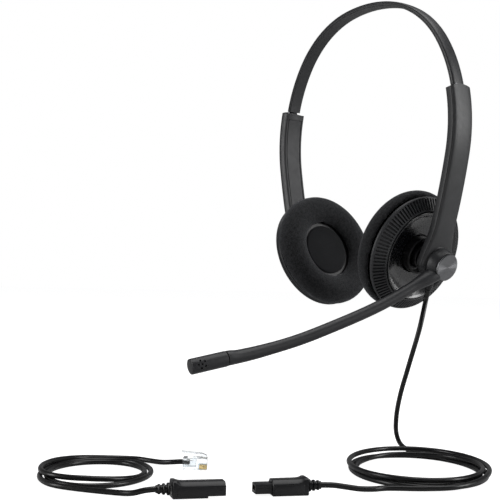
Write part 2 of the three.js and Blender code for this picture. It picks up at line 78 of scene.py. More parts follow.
# ---------------------------------------------------------------- driving dimensions, millimetres
BAND_THICKNESS = 2.6
BAND_ARCS = ((78, 12), (54, 45), (75, 20))  # radius, turn in degrees, crown to sleeve
ARM_ARCS = ((83, 23), (340, 9))  # the same, from the sleeve's mouth to the hub
ARM_HALF = 2.7  # half of the arm's thickness
ARM_WIDTH = 13
ARM_END = 2.5  # the arm's straight lower edge is this far below the hub
TONGUE_OFFSET = 0.8
BALL_OUT = -7.6  # the ball's centre on the hub's axis
BOOM_RADIUS = 2.65
BOOM_ROUTE = (  # in the hub's frame: forward, down, out
    (4, 4.5, 5.8), (34, 20.8, 5.6), (61.7, 32.8, 4.2),
    (79.3, 39.5, 3), (96.7, 44.6, 1.5), (112.5, 48.3, -0.1),
)
MIC_LENGTH = 17.5
MIC_FACING = 45  # degrees: where the sound holes lie round the capsule
CORD_RADIUS = 1.2
GLAND_OUT = 0.4
GLAND_LEAN = 5  # degrees to the back
LAY_TURN = 51.9  # degrees: the direction in which the leads are laid out
PLUG_TURN = 15.2
PLUG_HEIGHT = 3.7
PLUG_PLACE = (-33.6, -107.6)
SOCKET_PLACE = (-89, -122.6)
TELEPHONE_PLUG_PLACE = (-82.6, -58)
COIL_LIFT = 0.1
COIL_TURN = -5
TELEPHONE_HEIGHT = 3.4
LINE_STEP = 1.2  # between the points of a cord's and the boom's line
SLOTS = 96
SHARP = 35  # degrees: edges sharper than this stay sharp

# ---------------------------------------------------------------- frames
joints = {j["name"]: j for j in frame["joints"]}
ball = Vector(joints["left_cup_swivel"]["pos_m"])
outward = -Vector(joints["boom_turn"]["axis"]).normalized()
backward = Vector((0, 1, 0))
downward = backward.cross(outward)


def turned(degrees, axis):
    return Matrix.Rotation(math.radians(degrees), 4, axis)


def in_scene(obj):
    bpy.context.scene.collection.objects.link(obj)
    return obj


def frame_of(x_axis, y_axis, z_axis, origin):
    turn = Matrix((x_axis, y_axis, z_axis)).transposed().to_4x4()
    return Matrix.Translation(origin) @ turn


HUB = {"left": frame_of(downward, backward, outward, ball - outward * BALL_OUT * MM)}
HUB["right"] = turned(180, "Z") @ HUB["left"]
crown_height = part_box("headband")[1].z - BAND_THICKNESS * MM / 2
ARCH = {"left": Matrix.Translation((0, 0, crown_height))}
ARCH["right"] = turned(180, "Z") @ ARCH["left"]
floor_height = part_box("headset_cord_coil")[0].z - COIL_LIFT * MM
LAY = Matrix.Translation((0, 0, floor_height)) @ turned(LAY_TURN, "Z")


def laid(place, height, turn):
    """The frame of a piece that lies on the surface."""
    where = Matrix.Translation((place[0] * MM, place[1] * MM, height * MM))
    return LAY @ where @ turned(turn, "Z")


# ---------------------------------------------------------------- camera
CAMERA_PLACE = (0.3927, -0.3838, -0.1439)
CAMERA_AXES = (  # right, up and backward
    (0.6171, 0.7864, 0.0283), (0.0049, -0.0398, 0.9992), (0.7869, -0.6164, -0.0284),
)
CAMERA_LENS = 75.16

camera_data = bpy.data.cameras.new("camera")
camera_data.lens = CAMERA_LENS
camera_data.sensor_width = 36
camera_data.clip_start = 0.01
camera = in_scene(bpy.data.objects.new("camera", camera_data))
camera.matrix_world = frame_of(*(Vector(a).normalized() for a in CAMERA_AXES), CAMERA_PLACE)
bpy.context.scene.camera = camera


# ---------------------------------------------------------------- materials
WAVE_PERIOD = 0.314  # of the wave texture at scale 1


def shader(name, colour, roughness, metallic=0.0, **sockets):
    """A new material, its node tree and its shader. Sockets are plain numbers on the shader."""
    made = bpy.data.materials.new(name)
    made.use_nodes = True
    tree = made.node_tree
    bsdf = tree.nodes["Principled BSDF"]
    bsdf.inputs["Base Color"].default_value = (*colour, 1)
    bsdf.inputs["Roughness"].default_value = roughness
    bsdf.inputs["Metallic"].default_value = metallic
    for socket, value in sockets.items():
        bsdf.inputs[socket.replace("_", " ").title().replace("Ior", "IOR")].default_value = value
    return made, tree, bsdf


def maths(tree, operation, *values):
    """A sum of values that are sockets or numbers."""
    made = tree.nodes.new("ShaderNodeMath")
    made.operation = operation
    for socket, value in zip(made.inputs, values):
        if isinstance(value, (int, float)):
            socket.default_value = value
        else:
            tree.links.new(value, socket)
    return made.outputs[0]


def noise(tree, size, detail=3.0, stretch=(1, 1, 1)):
    """Noise whose features are about the given size across."""
    place = tree.nodes.new("ShaderNodeTexCoord")
    mapping = tree.nodes.new("ShaderNodeMapping")
    mapping.inputs["Scale"].default_value = stretch
    made = tree.nodes.new("ShaderNodeTexNoise")
    made.inputs["Scale"].default_value = 1 / (size * MM)
    made.inputs["Detail"].default_value = detail
    tree.links.new(place.outputs["Object"], mapping.inputs["Vector"])
    tree.links.new(mapping.outputs["Vector"], made.inputs["Vector"])
    return made.outputs["Fac"]


def spread(tree, value, low, high):
    """The value moved from 0.3..0.7, where noise mostly lies, to low..high."""
    made = tree.nodes.new("ShaderNodeMapRange")
    for socket, number in (("From Min", 0.3), ("From Max", 0.7), ("To Min", low), ("To Max", high)):
        made.inputs[socket].default_value = number
    tree.links.new(value, made.inputs["Value"])
    return made.outputs["Result"]


def tint(tree, bsdf, value, dark, light):
    """The base colour moves from dark to light as the value goes from 0 to 1."""
    mix = tree.nodes.new("ShaderNodeMix")
    mix.data_type = "RGBA"
    mix.inputs[6].default_value = (*dark, 1)
    mix.inputs[7].default_value = (*light, 1)
    tree.links.new(value, mix.inputs[0])
    tree.links.new(mix.outputs[2], bsdf.inputs["Base Color"])


def bumps(tree, bsdf, value, depth, strength=1.0):
    """Relief of the given depth in millimetres."""
    bump = tree.nodes.new("ShaderNodeBump")
    bump.inputs["Distance"].default_value = depth * MM
    bump.inputs["Strength"].default_value = strength
    tree.links.new(value, bump.inputs["Height"])
    tree.links.new(bump.outputs["Normal"], bsdf.inputs["Normal"])


def shade(colour, factor):
    return tuple(c * factor for c in colour)


def moulded(name, colour, roughness, grain=0.22, depth=0.006, tone=0.12, **sockets):
    """Moulded plastic: a fine spark-eroded grain, with slow changes of tone and polish."""
    made, tree, bsdf = shader(name, colour, roughness, **sockets)
    slow = noise(tree, 9, 2)
    tint(tree, bsdf, spread(tree, slow, 0, 1), shade(colour, 1 - tone), shade(colour, 1 + tone))
    polish = spread(tree, noise(tree, 2.5, 4), roughness - 0.04, roughness + 0.04)
    tree.links.new(polish, bsdf.inputs["Roughness"])
    bumps(tree, bsdf, noise(tree, grain, 2), depth)
    return made


def foamed(name, colour):
    """Open foam under a brushed skin: mottled, fuzzy and without gloss."""
    made, tree, bsdf = shader(
        name, colour, 0.95, sheen_weight=0.22, sheen_roughness=0.4, specular_ior_level=0.12,
    )
    bsdf.inputs["Sheen Tint"].default_value = (0.85, 0.87, 0.92, 1)
    fine, broad = spread(tree, noise(tree, 0.55, 4), 0, 0.65), spread(tree, noise(tree, 1.5, 2), 0, 0.35)
    tint(tree, bsdf, maths(tree, "ADD", fine, broad), shade(colour, 0.35), shade(colour, 1.8))
    bumps(tree, bsdf, noise(tree, 0.38, 5), 0.28, 0.9)
    return made


def woven(name, colour, thread=0.28):
    """Fine plain-woven speaker cloth: two crossed sets of threads."""
    made, tree, bsdf = shader(name, colour, 0.85, sheen_weight=0.15, specular_ior_level=0.2)
    place = tree.nodes.new("ShaderNodeTexCoord")
    waves = []
    for direction in ("X", "Y"):
        wave = tree.nodes.new("ShaderNodeTexWave")
        wave.bands_direction = direction
        wave.inputs["Scale"].default_value = WAVE_PERIOD / (thread * MM)
        wave.inputs["Distortion"].default_value = 0.4
        tree.links.new(place.outputs["Object"], wave.inputs["Vector"])
        waves.append(wave.outputs["Fac"])
    cross = maths(tree, "MULTIPLY", *waves)
    tint(tree, bsdf, cross, shade(colour, 0.7), shade(colour, 1.4))
    bumps(tree, bsdf, cross, 0.06, 0.8)
    return made


def metal(name, colour, roughness, anisotropic=0.0, brush=(1, 1, 1)):
    """Brushed or turned metal with fine marks."""
    made, tree, bsdf = shader(name, colour, roughness, 1.0, anisotropic=anisotropic)
    marks = noise(tree, 0.25, 3, brush)
    tree.links.new(spread(tree, marks, roughness - 0.05, roughness + 0.07), bsdf.inputs["Roughness"])
    tint(tree, bsdf, spread(tree, noise(tree, 2, 2), 0, 1), shade(colour, 0.9), shade(colour, 1.08))
    bumps(tree, bsdf, marks, 0.004)
    return made


def spun(name, colour, roughness):
    """A turned disc: concentric tool marks, which spread its glints across them."""
    made, tree, bsdf = shader(name, colour, roughness, 1.0, anisotropic=0.85)
    place = tree.nodes.new("ShaderNodeTexCoord")
    rings = tree.nodes.new("ShaderNodeTexWave")
    rings.wave_type = "RINGS"
    rings.rings_direction = "Z"
    rings.inputs["Scale"].default_value = WAVE_PERIOD / (0.12 * MM)
    rings.inputs["Distortion"].default_value = 0.6
    rings.inputs["Detail"].default_value = 2
    tree.links.new(place.outputs["Object"], rings.inputs["Vector"])
    tint(tree, bsdf, rings.outputs["Fac"], shade(colour, 0.85), shade(colour, 1.1))
    bumps(tree, bsdf, rings.outputs["Fac"], 0.002, 0.6)
    tangent = tree.nodes.new("ShaderNodeTangent")
    tangent.direction_type = "RADIAL"
    tangent.axis = "Z"
    tree.links.new(tangent.outputs["Tangent"], bsdf.inputs["Tangent"])
    return made


def clear(name):
    """Clear polycarbonate with faint flow marks."""
    made, tree, bsdf = shader(
        name, (0.84, 0.87, 0.89), 0.04, transmission_weight=1.0, ior=1.58, specular_ior_level=0.6,
    )
    flow = noise(tree, 2.2, 2)
    tree.links.new(spread(tree, flow, 0.02, 0.09), bsdf.inputs["Roughness"])
    bumps(tree, bsdf, flow, 0.02, 0.5)
    return made


BAND = moulded("band_plastic", (0.030, 0.0305, 0.033), 0.40)
ARM = moulded("arm_plastic", (0.042, 0.043, 0.045), 0.40)
COVER = moulded("cover_plastic", (0.020, 0.0205, 0.023), 0.48)
VENT = moulded("vent_plastic", (0.040, 0.041, 0.044), 0.42)
GLOSS = moulded(
    "gloss_plastic", (0.004, 0.0043, 0.006), 0.28, grain=0.6, depth=0.0015,
    coat_weight=1.0, coat_roughness=0.16,
)
INNER = moulded("inner_plastic", (0.006, 0.006, 0.007), 0.4)
BOOM = moulded("boom_plastic", (0.022, 0.0225, 0.025), 0.42)
PLUG = moulded("plug_plastic", (0.011, 0.011, 0.0125), 0.3)
CORD = moulded("cord_jacket", (0.0055, 0.0055, 0.006), 0.3, grain=0.5, depth=0.01, tone=0.2)
FOAM = foamed("foam", (0.027, 0.0275, 0.029))
CLOTH = woven("speaker_cloth", (0.005, 0.0056, 0.0075))
CAP = spun("spun_cap", (0.26, 0.262, 0.27), 0.36)
STEEL = metal("steel", (0.55, 0.55, 0.57), 0.3)
BLADE = metal("blade_steel", (0.20, 0.20, 0.21), 0.35, brush=(1, 1, 0.05))
GOLD = metal("gold", (0.86, 0.60, 0.22), 0.22)
CLEAR = clear("clear_plastic")


# ---------------------------------------------------------------- outlines
def rounded(points, radius, steps=3, closed=True):
    """An outline with its corners rounded; an open one keeps its two ends."""
    count = len(points)
    corners = [Vector(p) for p in points]
    made = []
    for i, corner in enumerate(corners):
        if not closed and i in (0, count - 1):
            made.append(corner)
            continue
        before, after = corners[i - 1] - corner, corners[(i + 1) % count] - corner
        reach = min(radius, 0.45 * before.length, 0.45 * after.length)
        start, end = corner + before.normalized() * reach, corner + after.normalized() * reach
        for step in range(steps + 1):
            t = step / steps
            made.append(start * (1 - t) ** 2 + corner * 2 * t * (1 - t) + end * t * t)
    return made


def along_arcs(arcs, start, step):
    """Points (x, z, angle of the outward normal) along a chain of arcs in the XZ plane."""
    points = [start]
    for radius, turn in arcs:
        x, z, angle = points[-1]
        centre = (x - radius * math.cos(math.radians(angle)), z - radius * math.sin(math.radians(angle)))
        count = max(2, round(turn / step))
        for i in range(1, count + 1):
            at = angle - turn * i / count
            x = centre[0] + radius * math.cos(math.radians(at))
            z = centre[1] + radius * math.sin(math.radians(at))
            points.append((x, z, at))
    return points


def smooth_line(points, spacing):
    """Points about the spacing apart on a smooth curve through the given ones, which may be uneven."""
    ends = [points[0] * 2 - points[1], *points, points[-1] * 2 - points[-2]]
    made = []
    for a, b, c, d in zip(ends, ends[1:], ends[2:], ends[3:]):
        reach = [(q - p).length ** 0.5 for p, q in ((a, b), (b, c), (c, d))]
        leave = (b - a) / reach[0] - (c - a) / (reach[0] + reach[1]) + (c - b) / reach[1]
        arrive = (c - b) / reach[1] - (d - b) / (reach[1] + reach[2]) + (d - c) / reach[2]
        leave, arrive = leave * reach[1], arrive * reach[1]
        count = max(1, round((c - b).length / spacing))
        for i in range(count):
            t = i / count
            made.append(b + leave * t + (3 * (c - b) - 2 * leave - arrive) * t * t
                        + (2 * (b - c) + leave + arrive) * t ** 3)
    return [*made, points[-1]]


def line_length(line):
    return sum((b - a).length for a, b in zip(line, line[1:]))


# ---------------------------------------------------------------- meshes
def lathe(outline, segments=128):
    """An outline of (radius, height) turned about Z; one that leaves the axis closes on it."""
    verts, rings = [], []
    for radius, height in outline:
        if radius < 1e-6:
            rings.append([len(verts)] * segments)
            verts.append((0, 0, height))
        else:
            rings.append(range(len(verts), len(verts) + segments))
            turns = [2 * math.pi * i / segments for i in range(segments)]
            verts += [(radius * math.cos(t), radius * math.sin(t), height) for t in turns]
    pairs = list(zip(rings, rings[1:]))
    if outline[0][0] > 1e-6:
        pairs.append((rings[-1], rings[0]))
    faces = []
    for low, high in pairs:
        for i in range(segments):
            j = (i + 1) % segments
            face = list(dict.fromkeys((low[i], low[j], high[j], high[i])))
            if len(face) > 2:
                faces.append(face)
    return verts, faces


def loft(rings, caps=True):
    """A skin over rings of points, its ends closed."""
    count = len(rings[0])
    verts = [p for ring in rings for p in ring]
    faces = []
    for k in range(len(rings) - 1):
        for i in range(count):
            j = (i + 1) % count
            faces.append((k * count + i, k * count + j, (k + 1) * count + j, (k + 1) * count + i))
    if caps:
        faces.append(tuple(reversed(range(count))))
        faces.append(tuple(range((len(rings) - 1) * count, len(rings) * count)))
    return verts, faces


def circle(sides):
    return [(math.cos(2 * math.pi * i / sides), math.sin(2 * math.pi * i / sides)) for i in range(sides)]


def swept(line, section_at, start_up=Vector((0, 0, 1))):
    """Rings of section_at(share of the way, point) carried along a line without twist."""
    rings = []
    up = start_up
    travelled = [0.0]
    for a, b in zip(line, line[1:]):
        travelled.append(travelled[-1] + (b - a).length)
    for i, point in enumerate(line):
        along = (line[min(i + 1, len(line) - 1)] - line[max(i - 1, 0)]).normalized()
        up = (up - along * up.dot(along)).normalized()
        side = along.cross(up)
        section = section_at(travelled[i] / travelled[-1])
        rings.append([point + side * x + up * y for x, y in section])
    return rings


def tube(line, radius, sides=14):
    ends = 0.25 * radius
    start, end = (line[1] - line[0]).normalized(), (line[-1] - line[-2]).normalized()
    line = [line[0], line[0] + start * ends, *line[1:-1], line[-1] - end * ends, line[-1]]
    section = [(x * radius, y * radius) for x, y in circle(sides)]
    small = [(x * 0.8, y * 0.8) for x, y in section]
    return loft(swept(line, lambda share: small if share in (0.0, 1.0) else section))


def slab(outline, low, high, bevel, segments=3):
    """A flat outline raised from low to high, with all its edges rounded."""
    made = bmesh.new()
    face = made.faces.new([made.verts.new((x, y, low)) for x, y in outline])
    raised = bmesh.ops.extrude_face_region(made, geom=[face])["geom"]
    for v in raised:
        if isinstance(v, bmesh.types.BMVert):
            v.co.z = high
    bmesh.ops.recalc_face_normals(made, faces=made.faces)
    if bevel:
        bmesh.ops.bevel(
            made, geom=made.edges[:], offset=bevel, segments=segments, profile=0.5, affect="EDGES",
        )
    made.verts.index_update()
    verts = [v.co.copy() for v in made.verts]
    faces = [[v.index for v in f.verts] for f in made.faces]
    made.free()
    return verts, faces


def block(low, high, bevel, segments=3):
    """A box between two corners with rounded edges."""
    outline = ((low[0], low[1]), (high[0], low[1]), (high[0], high[1]), (low[0], high[1]))
    return slab(outline, low[2], high[2], bevel, segments)


def moved(shape, matrix):
    verts, faces = shape
    return [matrix @ Vector(v) for v in verts], faces


def side_view(shape, half):
    """A slab drawn as (x, z) and raised from 0 to its width, turned to stand along Y about 0."""
    return moved(shape, Matrix.Translation((0, half, 0)) @ turned(90, "X"))


def smooth(mesh):
    mesh.polygons.foreach_set("use_smooth", [True] * len(mesh.polygons))


def mesh_object(name, shape, place=Matrix(), sharp=SHARP):
    """A smooth-shaded object of a shape in millimetres, its sharp edges kept."""
    verts, faces = shape
    mesh = bpy.data.meshes.new(name)
    mesh.from_pydata([Vector(v) * MM for v in verts], [], faces)
    made = bmesh.new()
    made.from_mesh(mesh)
    bmesh.ops.recalc_face_normals(made, faces=made.faces)
    made.to_mesh(mesh)
    made.free()
    smooth(mesh)
    mesh.set_sharp_from_angle(angle=math.radians(sharp))
    obj = in_scene(bpy.data.objects.new(name, mesh))
    obj.matrix_world = place
    return obj


def coat(obj, material):
    obj.data.materials.clear()
    obj.data.materials.append(material)


def dress(obj, material, body, stands_for=()):
    """Gives a piece its material and its body, and hides the CAD nodes that it stands for."""
    coat(obj, material)
    if stands_for:
        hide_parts(*stands_for)
    if body:
        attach(obj, body)
    return obj


def piece(name, shape, material, body, place=Matrix(), stands_for=(), sharp=SHARP):
    return dress(mesh_object(name, shape, place, sharp), material, body, stands_for)


def settled(obj):
    """The object's modifiers become its mesh."""
    bpy.context.view_layer.update()
    evaluated = obj.evaluated_get(bpy.context.evaluated_depsgraph_get())
    mesh = bpy.data.meshes.new_from_object(evaluated)
    obj.modifiers.clear()
    obj.data = mesh
    return obj


# ---------------------------------------------------------------- joined and cut shapes
def carved(obj, *operands):
    """Joins shapes to an object, or cuts them from it. An operand is (operation, shape in its frame)."""
    tools = []
    for i, (operation, shape) in enumerate(operands):
        tool = mesh_object(f"tool_{i}", shape, obj.matrix_world)
        tools.append(tool)
        modifier = obj.modifiers.new(f"tool_{i}", "BOOLEAN")
        modifier.operation = operation
        modifier.solver = "MANIFOLD"
        modifier.object = tool
    settled(obj)
    for tool in tools:
        bpy.data.objects.remove(tool)
    smooth(obj.data)
    obj.data.set_sharp_from_angle(angle=math.radians(SHARP))
    return obj


def cut(*shapes):
    return [("DIFFERENCE", shape) for shape in shapes]


def join(*shapes):
    return [("UNION", shape) for shape in shapes]


def carved_piece(name, shape, material, body, place, operands, stands_for=()):
    return dress(carved(mesh_object(name, shape, place), *operands), material, body, stands_for)


def rod(radius, low, high, across=False, segments=32):
    """A round bar along Z, or along Y, between two heights."""
    edge = min(0.15, radius / 4)
    shape = lathe((
        (0, low), (radius - edge, low), (radius, low + edge),
        (radius, high - edge), (radius - edge, high), (0, high),
    ), segments)
    return moved(shape, turned(-90, "X")) if across else shape


def in_millimetres(matrix):
    made = matrix.copy()
    made.translation = matrix.translation / MM
    return made


ARCH_IN_HUB = in_millimetres(HUB["left"].inverted() @ ARCH["left"])
MOUTH = along_arcs(BAND_ARCS, (0, 0, 90), 5)[-1]


# ---------------------------------------------------------------- headband
def off_line(place, out, across, along=0.0):
    """A point beside the arch's line: outward, across (to the back) and along it."""
    x, z, angle = place
    c, s = math.cos(math.radians(angle)), math.sin(math.radians(angle))
    return Vector((x + out * c + along * s, across, z + out * s - along * c))


def headband():
    """A springy strap, crowned outside, with a fine groove along each edge."""
    half = [
        (3.5, -1.3), (3.8, -1.02), (3.8, -0.55), (3.58, -0.46), (3.58, -0.28), (3.8, -0.2), (3.8, 0.62),
        (3.62, 0.9), (3.2, 1.1), (2, 1.24), (0.9, 1.3),
    ]
    section = half + [(-y, o) for y, o in reversed(half)]
    right_half = along_arcs(BAND_ARCS, (0, 0, 90), 1.2)
    left_half = [(-x, z, 180 - angle) for x, z, angle in reversed(right_half[1:])]
    rings = [[off_line(p, o, y) for y, o in section] for p in left_half + right_half]
    piece("headband_strap", loft(rings), BAND, "headband", ARCH["left"], ("headband",))


def slide_tongue(side):
    """The thin steel blade that the sleeve slides on, with a wide end."""
    half, head, thick = 3, 3.7, 0.45
    top, bottom = MOUTH[1] + 0.6, MOUTH[1] - 37
    outline = rounded((
        (-half, top), (-half, bottom + 3), (-head, bottom + 3), (-head, bottom),
        (head, bottom), (head, bottom + 3), (half, bottom + 3), (half, top),
    ), 0.5)
    stand = Matrix(((0, 0, 1, MOUTH[0] + TONGUE_OFFSET), (1, 0, 0, 0), (0, 1, 0, 0), (0, 0, 0, 1)))
    blade = moved(slab(outline, -thick, thick, 0.12, 2), stand)
    piece(f"{side}_slide_tongue", blade, BLADE, "headband", ARCH[side])


# ---------------------------------------------------------------- sleeve arms, in the hub's frame
ARM_LENGTH = sum(radius * math.radians(turn) for radius, turn in ARM_ARCS)


def arm_at(distance):
    """The arm's line (x, z, angle of its outward normal) at a distance past the hub."""
    left_over = ARM_LENGTH + min(distance, 0)
    place = MOUTH
    for radius, turn in ARM_ARCS:
        part = min(turn, math.degrees(max(left_over, 0) / radius))
        if part > 0:
            place = along_arcs(((radius, part),), place, part)[-1]
        left_over -= radius * math.radians(part)
    x, z, angle = place
    beyond = max(distance, 0)
    return x + beyond * math.sin(math.radians(angle)), z - beyond * math.cos(math.radians(angle)), angle


def along_arm(section_at, first, last, step=1.6):
    """A skin over sections of (across, out) or (across, out, along) points, between two distances."""
    count = math.ceil((last - first) / step)
    rings = []
    for i in range(count + 1):
        distance = first + (last - first) * i / count
        place = arm_at(distance)
        rings.append([ARCH_IN_HUB @ off_line(place, p[1], p[0], *p[2:]) for p in section_at(distance)])
    return loft(rings)


def eased(value, start, end):
    t = min(max((value - start) / (end - start), 0), 1)
    return t * t * (3 - 2 * t)


def arm_half_width(distance):
    return ARM_WIDTH / 2 + 3.3 * eased(distance, -19, ARM_END)


def arm_section(distance):
    """Crowned outside, a parting groove along each side, and a mouth whose lip dips at its corners."""
    rim = 0.5  # the lower edge is rounded over this length
    over = max(distance - (ARM_END - rim), 0) / rim
    w = arm_half_width(distance) - 0.45 * over ** 2
    thin = 1 - 0.16 * over ** 2
    half = [
        (w - 1.1, -ARM_HALF), (w - 0.4, -2.35), (w, -1.6), (w, 1.1),
        (w - 0.3, 1.22), (w - 0.3, 1.5), (w, 1.62),
        (w - 0.12, 2.0), (w - 0.45, 2.3), (w - 1.2, 2.5), (w * 0.55, 2.64), (w * 0.25, 2.69),
    ]
    from_mouth = distance + ARM_LENGTH
    dip = 1.2 * max(1 - from_mouth / 6, 0)
    section = half + [(-y, o) for y, o in reversed(half)]
    return [(y, o * thin, dip * (y / w) ** 2) for y, o in section]


def tongue_room():
    """The room for the tongue: narrow at the sleeve's lip, wider below it."""
    x, half = MOUTH[0] + TONGUE_OFFSET, 0.75
    lip = block((x - half, -3.3, MOUTH[1] - 6.5), (x + half, 3.3, MOUTH[1] + 3), 0)
    room = block((x - half, -4, MOUTH[1] - 37.6), (x + half, 4, MOUTH[1] - 6), 0)
    return moved(lip, ARCH_IN_HUB), moved(room, ARCH_IN_HUB)


COVER_FIRST, COVER_LAST = -82.2, -18.1
SCREW_UP, SCREW_IN = 21.5, 0.7
GLAND = (
    Matrix.Translation((0, 0, GLAND_OUT)) @ turned(GLAND_LEAN, "Z") @ turned(90, "Y")
)


def sleeve(side, has_boom):
    """The arm's shell, with the hub's disc, the stud for the cup's ball and the boom's post."""
    lip, room = tongue_room()
    recess = along_arm(
        lambda d: ((-4.95, -1.2), (4.95, -1.2), (4.95, -4), (-4.95, -4)), COVER_FIRST - 0.3, COVER_LAST + 0.3,
    )
    disc = lathe(((0, -2.7), (7.9, -2.7), (8.4, -2.2), (8.4, 2.25), (8.1, 2.6), (7.6, 2.75), (0, 2.75)))
    stud = block((-2.2, -1.5, BALL_OUT), (2.2, 1.5, -2), 0.2)
    eye = moved(rod(2.2, -1.5, 1.5, across=True), Matrix.Translation((0, 0, BALL_OUT)))
    pin_hole = moved(rod(1.1, -2, 2, across=True), Matrix.Translation((0, 0, BALL_OUT)))
    operands = [*cut(recess, room, lip), *join(disc, stud, eye), *cut(pin_hole)]
    operands += cut(moved(rod(0.9, -2.5, 0.9), Matrix.Translation((-SCREW_UP, 0, -SCREW_IN))))
    if has_boom:
        boss = lathe(((0, 6), (2.25, 6), (2.25, 9.8), (2.0, 10.4), (1.8, 10.6), (0, 10.6)), 32)
        operands += [*join(rod(3, 2, 6.6)), *cut(rod(1.3, 1.5, 7))]
        operands += [*join(moved(boss, GLAND)), *cut(moved(rod(1.15, 6, 12), GLAND))]
    else:
        operands += cut(rod(2.2, 1.5, 3.2))
    shell = along_arm(arm_section, -ARM_LENGTH + 0.3, ARM_END)
    carved_piece(
        f"{side}_sleeve", shell, ARM, f"{side}_arm", HUB[side], operands, (f"{side}_arm_shell",),
    )


def sleeve_cover(side):
    """The plate that closes the arm's inner side, and its countersunk screw."""
    section = ((-4.65, -1.5), (4.65, -1.5), (4.65, -2.45), (4.4, -2.7), (-4.4, -2.7), (-4.65, -2.45))
    plate = along_arm(lambda d: section, COVER_FIRST, COVER_LAST)
    lip, room = tongue_room()
    at_screw = Matrix.Translation((-SCREW_UP, 0, -SCREW_IN))
    hole = moved(rod(0.95, -4, 0), at_screw)
    sink = moved(rod(1.9, -4, -2.1), at_screw)
    carved_piece(
        f"{side}_sleeve_cover", plate, COVER, f"{side}_arm", HUB[side], cut(lip, room, hole, sink),
        (f"{side}_arm_cover",),
    )
    head = lathe((
        (0, 0.5), (0.6, 0.4), (0.6, -2.4), (1.45, -2.4), (1.6, -2.48), (1.55, -2.6), (1.1, -2.74), (0, -2.8),
    ), 40)
    cross = cut(*(block((-a, -b, -3.4), (a, b, -2.45), 0.05) for a, b in ((0.9, 0.2), (0.2, 0.9))))
    place = HUB[side] @ Matrix.Translation(at_screw.translation * MM)
    carved_piece(
        f"{side}_screw", head, STEEL, f"{side}_arm", place, cross, (f"{side}_cover_screw",),
    )


# ---------------------------------------------------------------- ear cups, in the hub's frame
def dish(side):
    """The glossy back of the cup: a shallow dish, a raised rim and a skirt."""
    outline = rounded((
        (9.7, -12.2), (12, -12.15), (15, -11.8), (17.4, -11.2), (19.4, -10.4), (21.3, -8.25),
        (22.3, -7.8), (22.5, -8.4), (22.5, -10.2), (27.3, -13.3),
        (27.3, -17.4), (25.9, -17.4), (25.9, -14.2), (21.6, -11.4), (19.4, -12.2), (15, -13.2), (9.7, -13.5),
    ), 0.5, 3)
    piece(
        f"{side}_dish", lathe(outline, 160), GLOSS, f"{side}_cup", HUB[side], (f"{side}_cup_shell",),
    )


def slotted_ring(side):
    """The vent ring: a sloping face cut by radial slots, between a plain inner band and an outer ridge."""
    slope = (11.8 - 8.2) / (28.6 - 22.9)

    def face(radius, depth=0.0):
        return radius, -8.2 - (radius - 22.9) * slope - depth

    def outline(depth):
        return (
            face(22.9, 0.25), face(23.05), face(23.5), face(23.6, depth), face(28.6, depth), face(28.7),
            face(28.95), (29.2, -12.3), (29.3, -12.55), (29.15, -12.85), (28.5, -13.4), (28.5, -14.4),
            (27.7, -14.4), (27.7, -13.6), (22.9, -10.3),
        )

    columns = []
    for i in range(SLOTS):
        for share, depth in ((0.0, 0.0), (0.42, 0.0), (0.47, 1.3), (0.95, 1.3)):
            turn = 2 * math.pi * (i + share) / SLOTS
            columns.append([(r * math.cos(turn), r * math.sin(turn), z) for r, z in outline(depth)])
    columns.append(columns[0])
    verts, faces = loft(columns, caps=False)
    count = len(columns[0])
    last = len(verts) - count
    faces = [tuple(i - last if i >= last else i for i in f) for f in faces]
    piece(
        f"{side}_slotted_ring", (verts[:last], faces), VENT, f"{side}_cup", HUB[side], (f"{side}_vent_ring",),
        sharp=25,
    )


def seat(side):
    """The socket in the middle of the dish: an outer rim round the seat that grips the ball."""
    outline = rounded((
        (9.4, -13.4), (9.4, -8.1), (9.1, -7.7), (8.5, -7.6), (8.25, -8), (8.2, -12), (6.4, -12), (6.25, -6.7),
        (5.9, -6.3), (4.6, -6.1), (4.9, -7.6), (4.4, -9.9), (2.8, -11.6), (0.8, -12.45),
    ), 0.3, 3, closed=False)
    outline = [(0, -13.4), *outline, (0, -12.5)]
    piece(
        f"{side}_seat", lathe(outline), INNER, f"{side}_cup", HUB[side], (f"{side}_ball_socket",),
    )


def ball_joint(side):
    """The ball, slotted for the arm's stud, with a cross pin through the slot."""
    radius = 4.45
    turns = [math.pi * i / 24 for i in range(25)]
    sphere = lathe([(radius * math.sin(t), BALL_OUT - radius * math.cos(t)) for t in turns], 64)
    slot = block((-3.3, -1.85, BALL_OUT - 2.7), (3.3, 1.85, 0), 0.2)
    pin = moved(rod(0.8, -3, 3, across=True), Matrix.Translation((0, 0, BALL_OUT)))
    operands = [*cut(slot), *join(pin)]
    carved_piece(
        f"{side}_ball", sphere, INNER, f"{side}_gimbal", HUB[side], operands, (f"{side}_pivot_ball",),
    )


def speaker_cloth(side):
    outline = [(0, -19.2), (12.9, -19.2), (13.5, -19.35), (13.6, -19.55), (13.3, -19.72), (12.6, -19.8)]
    outline += [(r, -19.8 - 0.25 * (1 - (r / 12.6) ** 2)) for r in (11, 9, 6.5, 4, 2, 0)]
    piece(
        f"{side}_speaker_cloth", lathe(outline, 96), CLOTH, f"{side}_cup", HUB[side],
        (f"{side}_cloth_disc",),
    )


SWELL = 1.1  # millimetres that the foam may swell from its slack start
FOAM_GRID = 1.25
PRESSURE = 4
BLOWN_FRAMES = 20
HELD_TO, FREE_FROM = 16, 20  # heights between which the foam's side comes free
FLAT_BACK, FLAT_RADIUS = -19.8, 27  # the flat back that lies on the baffle


